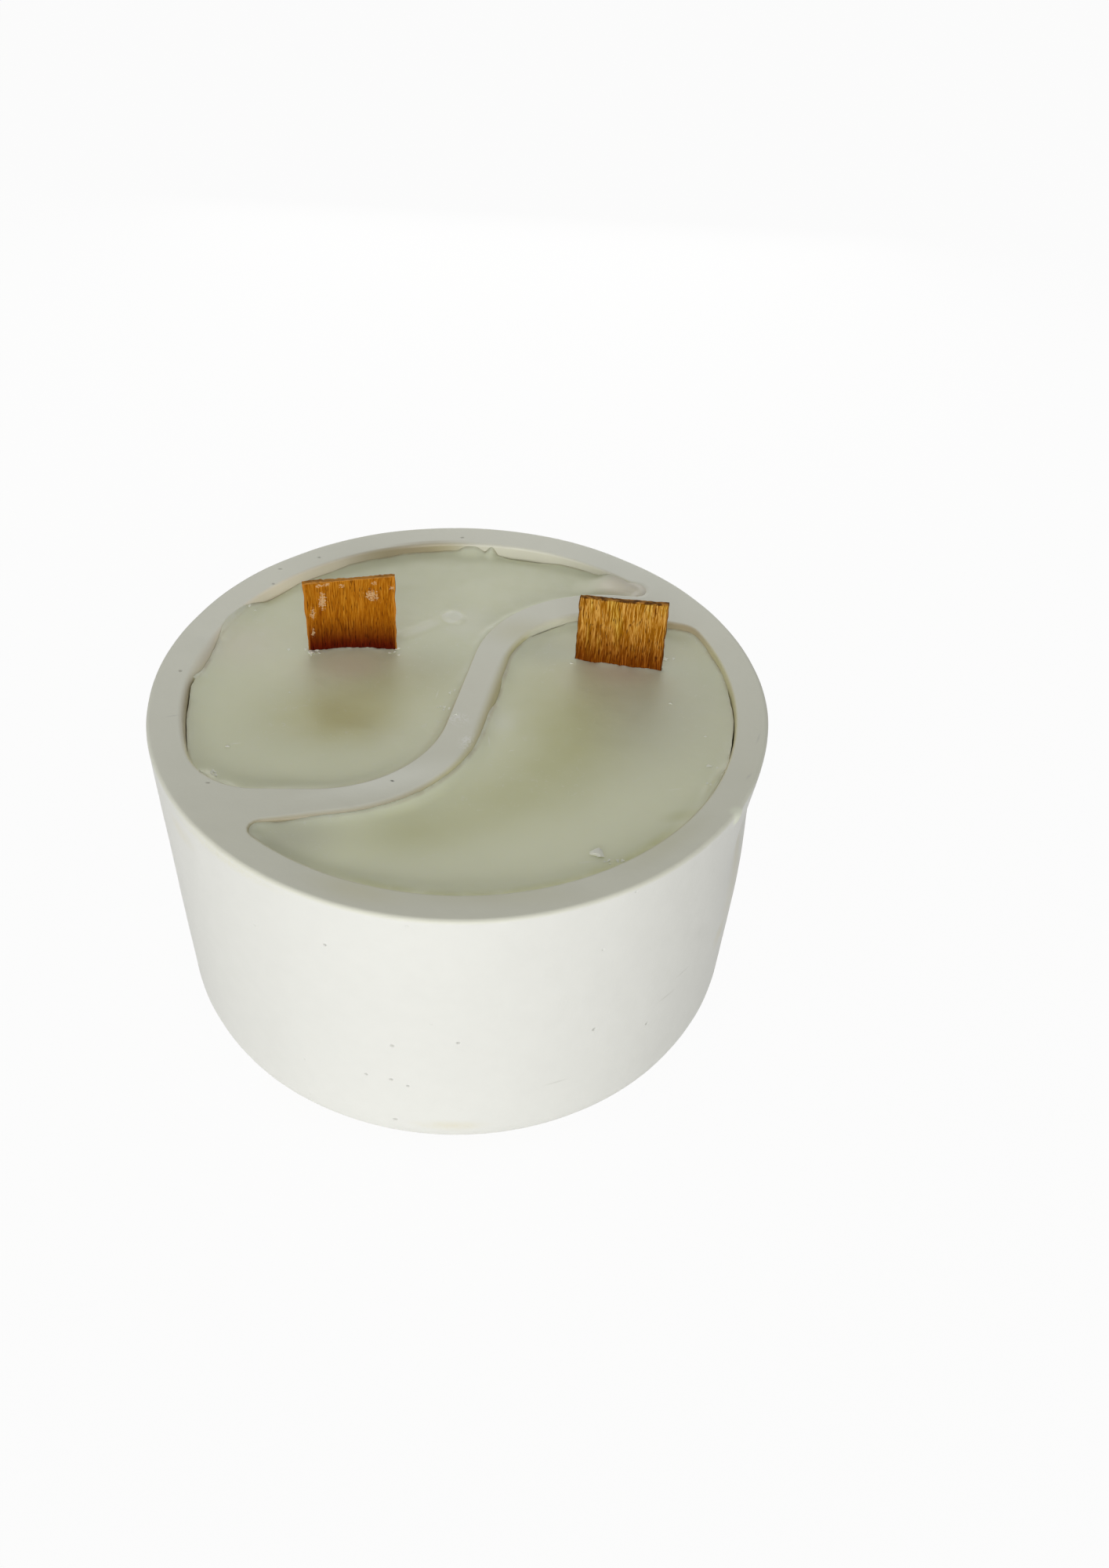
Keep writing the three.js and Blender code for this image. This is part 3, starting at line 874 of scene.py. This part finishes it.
def plaster_finish():
    """Cast plaster: faintly clouded, creamier on top and lighter towards the back of the top as painted
    light, soaked with wax down the walls of the wells and darkened there with painted shade.
    """
    cast = Finish("cast_plaster", CUP_HEIGHT, 8)
    rim = cast.level
    from_axis = (cast.x ** 2 + cast.y ** 2) ** 0.5
    clouds = cast.noise(0.05, 3) * 0.6 + cast.noise(0.4, 3) * 0.4
    grain = cast.noise(2.5, 3)
    on_top = cast.fade(cast.z, rim - 0.7, rim - 0.15)
    in_well = cast.fade(cast.stored("down_lip"), -0.1, 1.0)

    side = cast.mix(clouds, (0.85, 0.85, 0.81), (0.79, 0.79, 0.75))
    # Painted light: the top is made lighter towards the back, where more light falls on the rim.
    lit_towards_back = cast.fade(cast.y - cast.x * 0.4, -45, 45)
    top = cast.mix(lit_towards_back * 0.8 + clouds * 0.2, (0.77, 0.77, 0.66), (0.90, 0.90, 0.80))
    front = cast.patches(((3, -39), (17, 3.4, 3)), ((27, -29.5), (11, 3, 3), 42))
    top = cast.mix(front * 0.5, top, (0.68, 0.67, 0.50))
    cast.colour = cast.mix(on_top, side, top)
    edge = cast.patch((-31, -31, rim - 1.1), (16, 16, 1.5)) * cast.fade(grain, 0.2, 0.6)
    cast.layer(edge * 0.7, (0.80, 0.79, 0.66))
    # The walls of the wells are set place by place, partly with the wax soak and partly with painted shade,
    # darkest where the walls turn from the lamps.
    soak_and_shade = cast.mix(cast.noise(0.22, 2), (0.62, 0.58, 0.34), (0.52, 0.48, 0.27))
    for patches, full, tone in (
            ([((-18, -21), (21, 9), 14), ((-39, -3), (7, 12))], 0.5, (0.38, 0.33, 0.21)),
            ([((10, -36), (34, 12))], 0.4, (0.48, 0.47, 0.24)),
            ([((13, 36.5), (22, 9), -15)], 0.5, (0.76, 0.75, 0.64)),
            ([((13.5, 19), (10, 5), 10)], 0.5, (0.68, 0.68, 0.55)),
            ([((-29, 25), (18, 30), -48)], 0.5, (0.86, 0.80, 0.66))):
        soak_and_shade = cast.mix(cast.fade(cast.patches(*patches), 0, full), soak_and_shade, tone)
    pocket = cast.patches(((-38, 11), (8, 10)), ((28.5, 27), (4, 4)))
    soak_and_shade = cast.mix(pocket, soak_and_shade, (0.64, 0.58, 0.45))
    brown = cast.patches(((-9, 38.5), (14, 6), 10), ((34, 20), (11, 13)))
    soak_and_shade = cast.mix(brown, soak_and_shade, (0.42, 0.35, 0.22))
    cast.layer(in_well * 0.95, soak_and_shade)
    tide = cast.patch((-5.5, 39.4), (8, 3, 3), 8) * cast.fade(from_axis, 40.3, 39.8)
    cast.layer(tide * on_top * 0.6, (0.62, 0.56, 0.42))

    # Painted light: the patch at the back right lightens the rim where more light falls on it; the one on
    # the divider is a paler tone.
    pale = cast.patches(((27, 32), (25, 13, 4), -42), ((-10, -17.5), (15, 4, 2), 18))
    cast.layer(pale * on_top * 0.8 * (1 - in_well), (0.98, 0.99, 0.90))
    tinted = cast.patches(((9, 16), (9, 5, 2)), ((-13, -38.4), (9, 3.2, 2), -18))
    cast.layer(tinted * on_top * 0.6, (0.74, 0.72, 0.53))
    # Stains; the long patch down the right side also darkens it towards its edge, which turns from the
    # lamps: a yellow stain with painted shade.
    stains_and_shade = cast.patches(
        ((-0.9, -41.2, 7.2), (7, 5, 1.8)), ((38.1, -18.3, 22.8), (3, 3, 4)), ((-36, -22, 47), (4, 6, 2.5)),
        ((39.5, -15, 36), (4, 7, 20)))
    cast.layer(stains_and_shade * cast.noise(0.5, 3) * 0.9, (0.76, 0.72, 0.56))
    smears = cast.patches(((-0.3, -4.6), (2.4, 2.2, 1)), ((1.2, -9.6), (2.0, 3.0, 1)))
    scrawl = cast.fade(cast.noise(1.1, 4, 0.6, distortion=2), 0.49, 0.56)
    cast.layer(smears * scrawl * (1 - in_well) * 0.8, (0.97, 0.97, 0.92))
    scratches = cast.patches(
        ((41.7, -8.1), (0.25, 1.8, 1), -20), ((39.4, -16.2), (0.3, 1.1, 1), -35),
        ((-40.0, -4.6), (1.4, 0.2, 1), 15), ((29.4, -30.3, 22.5), (2.5, 2.5, 0.35)),
        ((31.5, -28.3, 25.3), (2.2, 2.2, 0.3)), ((13.8, -39.4, 14.6), (2.6, 2, 0.3)))
    cast.layer(scratches * 0.45, (0.60, 0.60, 0.54))
    pinholes = cast.patches(
        ((-33.6, -18.5), (0.4, 0.3, 0.6)), ((-22.3, 34.6), (0.35, 0.3, 0.6)),
        ((-28.1, 31.3), (0.45, 0.3, 0.6)), ((-28.8, 27.3), (0.3, 0.25, 0.6)),
        ((0.0, 40.8), (0.4, 0.3, 0.6)), ((-26.8, -28.3), (0.3, 0.3, 0.6)),
        ((-40.2, 5.6), (0.35, 0.4, 0.6)))
    pits = cast.patches(
        ((-8.8, -41.4, 24.8), (0.4, 0.4, 0.4)), ((0.1, -42.5, 26.7), (0.35, 0.6, 0.35)),
        ((18.7, -38, 24.2), (0.4, 0.6, 0.4)), ((-17.1, -40, 43), (0.3, 0.6, 0.3)),
        ((-9.1, -40.9, 17), (0.35, 0.6, 0.35)), ((-12.6, -40, 17), (0.35, 0.6, 0.3)),
        ((-6.8, -41.3, 16.1), (0.3, 0.6, 0.3)), ((26.7, -32.4, 19.1), (0.4, 0.6, 0.4)),
        ((-8.7, -40.4, 7.6), (0.45, 0.6, 0.3)))
    # Painted shade: the pinholes and pits are darkened for the shade inside them.
    cast.layer(pinholes * 0.6 + pits * 0.25, (0.40, 0.38, 0.30))
    nub = cast.fade(cast.patch((37.0, -23.3, rim - 0.8), (1.9, 1.9, 1.6)), 0, 0.5)
    cast.layer(nub, (0.90, 0.92, 0.78))
    speck = cast.patch((-9.1, -17.8), (0.42, 0.24, 0.6), -20)
    cast.layer(speck, (0.03, 0.028, 0.02))

    bubbles = cast.add("TexVoronoi", {"Vector": cast.place, "Scale": 0.16})["Distance"]
    cast.dent(cast.noise(0.2, 2), 0.15)
    cast.dent(cast.fade(bubbles, 0.015, 0.045), 0.06)
    cast.dent(pinholes + pits, -0.2)
    cast.dent(grain, 0.012)
    return cast.done(roughness=cast.fade(grain, 0.2, 0.8, 0.50, 0.66) - in_well * 0.22)


def wax_finish():
    """Soy wax: clouded, lighter towards the front and darker towards the back as painted light and shade,
    olive in broad patches, and brownish in a thin line along the wall as painted shade where it meets the
    wall.
    """
    wax = Finish("soy_wax", WAX_LEVEL, 9)
    clouds = wax.noise(0.07, 3)
    # Painted light and shade: the wax is lighter towards the front and darker towards the back, for how the
    # light falls on it.
    tone = wax.fade(wax.y, -36, 24) * 0.7 + clouds * 0.3
    wax.colour = wax.mix(tone, (0.87, 0.89, 0.66), (0.76, 0.78, 0.575))
    shaded = wax.patches(
        ((28, 4), (25, 25)), ((-22, -28), (10, 7)), ((-7, 8.5), (11, 9), 30), ((13, 13), (8, 7)))
    wax.layer(shaded, (0.65, 0.66, 0.50))
    # A rosy tint; the patch at the far tip of the left well and the pocket patch below lighten the wax
    # there as painted light over the shade of the pocket and of the right wick.
    rosy_and_painted_light = wax.patches(((-33, 14), (11, 9)), ((25, 28.3), (9, 5), -15))
    wax.layer(rosy_and_painted_light * 0.45, (0.85, 0.78, 0.66))
    pocket = wax.fade(wax.patch((26, 28.5), (7, 6)), 0, 0.6)
    wax.layer(pocket * 0.7, (0.96, 0.88, 0.72))
    olive = wax.cloud(
        ((-19.5, -3), (18, 13), -6), ((-9, 5), (13, 11)), ((14, 2), (12, 13)), ((15.5, -6), (13, 13)),
        ((14, -13), (13, 13)), ((8, -19), (14, 12)), ((0, -24), (15, 10), 20), ((-8, -27), (14, 7), 10))
    olive = olive * wax.fade(wax.noise(0.13, 2), 0.2, 0.8, 0.8, 1.0)
    olive = olive * wax.fade(wax.y - wax.x * 0.4, -36, -14, 0.6, 1.0)
    wax.layer(olive * 0.95, (0.62, 0.625, 0.34))
    wax.layer(wax.patch((-17.5, -3.0), (12, 9)), (0.73, 0.72, 0.40))
    # Painted reflection: pinkish patches in front of the wicks stand for the wicks reflected in the wax.
    painted_wick_reflection = wax.patches(((-16, 8.8), (8, 4.5), 2), ((23.3, 8.4), (8, 4.5), -11))
    wax.layer(painted_wick_reflection * 0.45, (0.72, 0.65, 0.53))
    # Paler wax; the long narrow patch along the ridge and the pale lump are painted highlights on these
    # swellings.
    pale = wax.patches(((1, 20), (7, 6)), ((6.0, -3.6), (3.0, 3.6)), ((-5.5, 18.8), (6, 1.6), 36))
    wax.layer(pale * 0.45, (0.88, 0.89, 0.78))
    lump = wax.patch((-1.4, 21.4), (2.3, 2.1), 20)
    wax.layer(wax.fade(lump, 0.1, 0.3) * 0.5, (0.90, 0.91, 0.82))

    from_wall = wax.stored("from_wall")
    # Painted shade: olive darkening where the wax curves up to the front walls, which face away from the
    # lamps, and along the right well's front-right wall.
    front = wax.fade(wax.patch((12, -36), (34, 18)), 0, 0.3)
    deep = front * wax.fade(from_wall, 2.6, 0.9) * wax.fade(wax.noise(0.3, 2), 0.3, 0.6, 0.5, 1)
    shaded_right_edge = wax.patches(((30.6, -22.4), (5, 1.8), 12), ((24, -29.6), (7, 1.8), 38))
    wax.layer(deep.larger(shaded_right_edge * 0.5) * 0.8, (0.60, 0.61, 0.28))
    # Painted shade: a thin brown line where the wax meets the wall, for the shade in that crevice.
    line = wax.fade((from_wall - 0.05).size(), 0.5, 0.05)
    line = line * wax.fade(wax.noise(0.35, 2), 0.35, 0.6, 0.15, 0.6)
    line = line * wax.fade(wax.z, wax.level + 1.35, wax.level + 0.9)
    wax.layer(line, (0.56, 0.50, 0.32))
    spot = wax.patch((4.6, 0.6), (0.8, 2.2, 3), 5)
    wax.layer(spot * 0.8, (0.54, 0.46, 0.21))
    streaks = wax.patches(
        ((4.0, -7.6), (0.18, 1.5, 2), 5), ((7.1, -9.4), (0.7, 0.14, 2), 15),
        ((-3.4, 3.0), (0.14, 1.4, 2), -12), ((29.4, -17.1), (1.6, 0.16, 2), 12),
        ((16.6, -31.6), (1.8, 0.14, 2), 10), ((-31.0, -8.5), (1.2, 0.2, 2), 8))
    wax.layer(streaks * 0.6, (0.93, 0.94, 0.82))
    bloom = wax.fade(wax.noise(0.9, 4, 0.65, distortion=1.5), 0.60, 0.68)
    wax.layer(bloom * wax.fade(clouds, 0.4, 0.6) * 0.25, (0.88, 0.88, 0.82))

    wax.dent(wax.noise(0.2, 2), 0.12)
    wax.dent(wax.noise(1.6, 2), 0.008)
    return wax.done(
        roughness=wax.fade(wax.noise(0.5, 3), 0.3, 0.7, 0.36, 0.48),
        subsurface_weight=0.3, subsurface_scale=3 * MM, subsurface_radius=(1.0, 0.9, 0.6))


def crumb_finish():
    crumb = Finish("wax_crumb")
    clouds = crumb.noise(2.0, 3)
    crumb.colour = crumb.mix(clouds, (0.97, 0.97, 0.87), (0.88, 0.89, 0.77))
    crumb.dent(clouds, 0.05)
    return crumb.done(roughness=0.45)


def wood_finish(name, wick, splatters):
    """Veneer: upright fibres with dark pores, darker towards the wax, charred along the top edge."""
    wood = Finish(name)
    local = wood.local((*(wick["place"].xy / MM), WAX_LEVEL / MM), wick["turn"])
    along, through, above = wood.split(local)
    straight = along - above * wick["lean"]
    width = WICK_WIDTH / MM
    left_height, right_height, top_dip = (
        wick[name] / MM for name in ("left_height", "right_height", "top_dip"))

    def clouds(x, y, z):
        return wood.noise(1, 2, vector=wood.join(x, y, z))

    def grain(across_scale, up_scale, detail=3.0):
        place = wood.join(wavy * across_scale, through * 0.6, above * up_scale)
        return wood.noise(1, detail, 0.6, place)

    wavy = along + (clouds(along * 0.3, 0, above * 0.12) - 0.5) * 0.7 + wick["seed"] * 20
    fibres = grain(4.6, 0.24)
    threads = grain(10.0, 0.5, 2.0)
    bands = grain(0.8, 0.05, 2.0)
    pores = wood.fade(grain(5.2, 0.7, 1.0), 0.60, 0.70)
    tone = (fibres - 0.5) * 1.3 + (threads - 0.5) * 1.7 + (bands - 0.5) * 0.5
    tone = tone * wick["contrast"] + 0.5 + (above / right_height - 0.55) * 0.22
    wood.colour = wood.ramp(tone, (0.15, wick["dark"]), (0.5, wick["base"]), (0.85, wick["light"]))
    golden = wood.fade(grain(0.55, 0.1, 2.0), 0.45, 0.62) * wick["gold"]
    wood.layer(golden, (0.98, 1.1, 0.9), "MULTIPLY")
    wood.layer(pores * 0.75, (0.08, 0.018, 0.001))

    ragged = above + (clouds(along * 1.4, 0, 0) - 0.5) * 1.6
    soaked = wood.fade(ragged, wick["dark_foot"], 0.2)
    wood.layer(soaked, wick["foot"], "MULTIPLY")
    across = straight / width
    top = (across + 0.5) * (right_height - left_height) + left_height
    to_top = top - (1 - across * across * 4) * top_dip - above
    wood.layer(wood.fade(to_top, 0.2, 0.02), (0.62, 0.27, 0.05))
    burnt = wood.fade(clouds(along * 0.8, through * 2, 0), 0.4, 0.6, 0.35, 1)
    charred = wood.fade(to_top + through * 0.4, 0.22, 0.05)
    wood.layer(charred * burnt * wick["char"], (0.055, 0.018, 0.004))
    # Along the side edges: a lighter tone on the left wick, a painted highlight; a dark edge on the right
    # wick.
    side_edge = wood.fade(straight.size(), width / 2 - 0.3, width / 2 - 0.05)
    wood.layer(side_edge * 0.55, wick["side_edge"])
    if splatters:
        wax = wood.patches(*splatters, vector=local)
        wax = wood.fade(wax * 0.42 + wood.noise(3.4, 3, 0.6), 0.76, 0.9)
        wood.layer(wax * 0.62, (0.68, 0.48, 0.28))
    wood.dent(fibres + threads * 0.5 - pores * 0.6, 0.04)
    return wood.done(roughness=wood.fade(fibres, 0.3, 0.7, 0.72, 0.52), specular_ior_level=0.04)


def tin_finish():
    tin = Finish("tinplate")
    clouds = tin.noise(0.4, 3)
    tin.colour = tin.mix(clouds, (0.62, 0.61, 0.58), (0.74, 0.73, 0.71))
    return tin.done(metallic=1.0, roughness=tin.fade(clouds, 0.2, 0.8, 0.25, 0.42))


def foam_finish():
    foam = Finish("foam_tape")
    cells = foam.noise(2.2, 3)
    foam.colour = foam.mix(cells, (0.86, 0.85, 0.82), (0.78, 0.77, 0.74))
    foam.dent(cells, 0.1)
    return foam.done(roughness=0.9)


# Assembly

# Dried wax on the left wick: places along it and above the wax, with their sizes
SPLATTERS = [
    ((-1.3, 0, 11.2), (1.0, 2, 0.8)), ((-3.4, 0, 11.5), (1.0, 2, 0.6)), ((-4.4, 0, 11.4), (1.2, 2, 0.7)),
    ((3.4, 0, 11.8), (1.0, 2, 0.9)), ((5.9, 0, 11.2), (1.1, 2, 0.8)), ((-4.1, 0, 8.8), (1.3, 2, 3.4)),
    ((-5.6, 0, 6.6), (0.8, 2, 2.6)), ((-5.7, 0, 3.2), (0.7, 2, 1.6)), ((3.0, 0, 9.6), (2.2, 2, 2.2)),
]

# Crumbs at the foot of the left wick, from its middle
WICK_CRUMBS = [(-6.2, -0.7), (-5.6, -0.8), (6.3, -0.6)]

# Places of flakes and crumbs (x, y), their size and how many lie there
CRUMBS = [
    (18.0, -29.9, 1.35, 1), (19.5, -32.0, 0.5, 3), (21.0, -31.0, 0.4, 2), (-3.1, 0.3, 0.4, 2),
    (-0.8, -3.2, 0.3, 2), (-1.9, -0.5, 0.4, 3), (-1.2, 3.6, 0.35, 3), (34.6, -6.0, 0.3, 1),
    (30.2, 1.3, 0.35, 1), (30.9, 12.0, 0.45, 3),
    (-25.7, 12.7, 0.4, 2), (-24.5, 2.9, 0.25, 1), (-32.1, -9.2, 0.5, 1), (-33.8, -15.2, 0.5, 3),
    (-30.2, -18.0, 0.45, 3), (-31.8, 22.9, 0.5, 2), (-22.3, 12.2, 0.7, 2), (16.3, 10.4, 0.4, 1),
    (-10.4, 12.6, 0.45, 2), (34.8, -12.8, 0.5, 2), (33.9, -16.2, 0.45, 2),
    *((*(LEFT_WICK["place"].xy / MM + Vector(away)), 0.5, 3) for away in WICK_CRUMBS),
]


def cover(piece, material):
    piece.data.materials.clear()
    piece.data.materials.append(material)


def dress(piece, material, slot, *nodes):
    cover(piece, material)
    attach(piece, "root")
    if nodes:
        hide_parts(*nodes)


def assemble():
    left_well = Well(1, 11, 1.8, lips=[
        (-39, 4, 17, 1.0), (-38.2, 9.0, 4.5, 1.7), (0, 37, 14, 0.5), (1, 1, 13, 0.25), (-14, -17, 11, 0.3),
        (14, 23, 12, 0.3), (28, 27.5, 4.0, 0.6)], widenings=[(28.8, 27.5, 2.6, 1.1)])
    right_well = Well(-1, 2, 4, lips=[
        (39, -3, 14, 0.45), (3, -2, 12, 0.75), (-14, -20, 11, 0.5), (14, 19, 11, 0.35), (0, -39, 22, 0.5),
        (-31.5, -21, 4, 0.7)], widenings=[(4, 0, 14, 0.75), (-12, -19, 12, 0.35), (14, 19.5, 8, 0.3)])
    wax = wax_finish()
    cup = cup_body([left_well, right_well])
    left = wax_fill(
        "wax_fill_left", left_well, LEFT_WICK, 0.2 * MM,
        climbs=[
            (-2, -5, 14, 1.15), (-18, -18, 12, 1.2), (9, 19, 10, 1.1), (-27.7, 27.7, 4, -0.5),
            (-22, 32, 4, -0.3), (-34.8, 20.0, 5.2, 1.59), (-37.9, 10.5, 4.0, 0.55), (-39.4, 4.0, 3.2, 1.2),
            (-34.5, -15.6, 1.6, 1.8), (-31.5, -17.8, 1.4, 1.85), (1.4, 38.9, 1.9, 1.15),
            (4.6, 38.7, 0.9, 1.95), (10, 37.9, 4.5, -0.6), (24, 31, 2.6, 1.35), (28, 28, 4, 1.45)],
        cracks=[(-39.2, 1.5, 3.6, 0.16), (-38.4, -6.5, 4.2, 0.14)],
        levels=[(-17, -12, 9, 0.6), (24.5, 27.5, 6, 1.0)],
        swells=[
            (2.5, 25.0, 5.0, 0.2), *((-2.5 - step, 20.9 - 0.68 * step, 1.2, 0.13) for step in range(7)),
            (-1.5, 21.5, 1.4, 0.5), (-0.5, 20.9, 1.0, 0.42)])
    right = wax_fill(
        "wax_fill_right", right_well, RIGHT_WICK, 0.45 * MM,
        climbs=[
            (0, -39, 20, 0.6), (-14, -19, 14, 1.35), (-27.2, -26.3, 3.5, 1.3), (1, -8, 9, 1.05),
            (6, 8, 6, 0.9), (5.3, 2.4, 2.6, 0.3), (34.8, -16.4, 3.6, 1.4), (12.5, 18.8, 4.0, 0.3)],
        cracks=[(39.3, 0.0, 4.5, 0.16), (38.0, -8.0, 4.5, 0.2), (12.7, 18.8, 3.4, 0.22)],
        levels=[(-20, -24, 12, 0.85)],
        swells=[(6.3, -3.4, 2.6, 0.14)])
    dress(cup, plaster_finish(), "plaster", "cup")
    dress(left, wax, "wax", "wax_left")
    dress(right, wax, "wax", "wax_right")
    dress(wax_crumbs([cup, left, right]), crumb_finish(), "wax")
    dress(
        wooden_wick("wooden_wick_left", LEFT_WICK), wood_finish("cherry_left", LEFT_WICK, SPLATTERS),
        "wick_wood", "wick_left")
    dress(
        wooden_wick("wooden_wick_right", RIGHT_WICK), wood_finish("cherry_right", RIGHT_WICK, []),
        "wick_wood", "wick_right")
    for name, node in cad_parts.items():
        if name.startswith("wick_clip"):
            cover(node, tin_finish())
        if name.startswith("wick_sticker"):
            cover(node, foam_finish())


# Studio


def add_object(name, data):
    thing = bpy.data.objects.new(name, data)
    bpy.context.scene.collection.objects.link(thing)
    return thing


def studio_camera():
    """The photograph's camera, from the fit of the rim's circles and the outline."""
    focal_pixels, photo_pixels = 2251.7, 2000
    distance, elevation = 251.8 * MM, radians(38.89)
    pitch, yaw, roll = radians(41.56), radians(4.1), radians(3.26)
    ahead = Vector((sin(yaw) * cos(pitch), cos(yaw) * cos(pitch), -sin(pitch)))
    right = Vector((cos(yaw), -sin(yaw), 0))
    up = right.cross(ahead)
    right, up = right * cos(roll) + up * sin(roll), up * cos(roll) - right * sin(roll)
    data = bpy.data.cameras.new("studio_camera")
    data.sensor_fit = "AUTO"
    data.sensor_width = 36
    data.lens = focal_pixels / photo_pixels * data.sensor_width
    data.clip_start = 0.01
    camera = add_object("studio_camera", data)
    place = Vector((0, -distance * cos(elevation), distance * sin(elevation))) + UP * CUP_HEIGHT
    camera.matrix_world = Matrix.Translation(place) @ Matrix((right, up, -ahead)).transposed().to_4x4()
    bpy.context.scene.camera = camera


def soft_lamp(name, azimuth, elevation, distance, size, power, colour):
    """A square lamp that looks at the cup from a direction given as a compass angle from the front."""
    data = bpy.data.lights.new(name, "AREA")
    data.shape = "SQUARE"
    data.size = size
    data.energy = power
    data.color = colour
    lamp = add_object(name, data)
    lamp.visible_camera = False
    azimuth, elevation = radians(azimuth), radians(elevation)
    level = cos(elevation)
    away = Vector((sin(azimuth) * level, -cos(azimuth) * level, sin(elevation)))
    lamp.location = away * distance + UP * CUP_HEIGHT / 2
    lamp.rotation_euler = away.to_track_quat("Z", "Y").to_euler()


def studio():
    scene = bpy.context.scene
    scene.view_settings.view_transform = "Standard"
    scene.world = bpy.data.worlds.new("studio_world")
    sky = Nodes(scene.world)
    dim = sky.tree.nodes["Background"]
    sky.feed(dim.inputs["Color"], (1.0, 1.0, 0.95))
    sky.feed(dim.inputs["Strength"], 0.31)
    sky.show_white(dim, sky.add("Background", {"Color": (1, 1, 1)}), 1.0, "World Output")

    deselect_all()
    bpy.ops.mesh.primitive_plane_add(size=6)
    floor = bpy.context.object
    floor.name = "studio_floor"
    pale = Finish("pale_floor")
    pale.colour = (0.85, 0.85, 0.84)
    floor.data.materials.append(pale.done(roughness=0.9))
    pale.show_white(pale.shader, pale.add("Emission"), 0.95, "Material Output")

    soft_lamp("left_front_lamp", -28, 6, 1.2, 0.7, 5.8, (1, 1, 1))
    soft_lamp("front_lamp", 2, 6, 1.2, 0.7, 7.4, (1, 1, 1))
    soft_lamp("back_lamp", 176, 18, 0.26, 0.2, 0.17, (1, 1, 0.97))


assemble()
studio_camera()
studio()
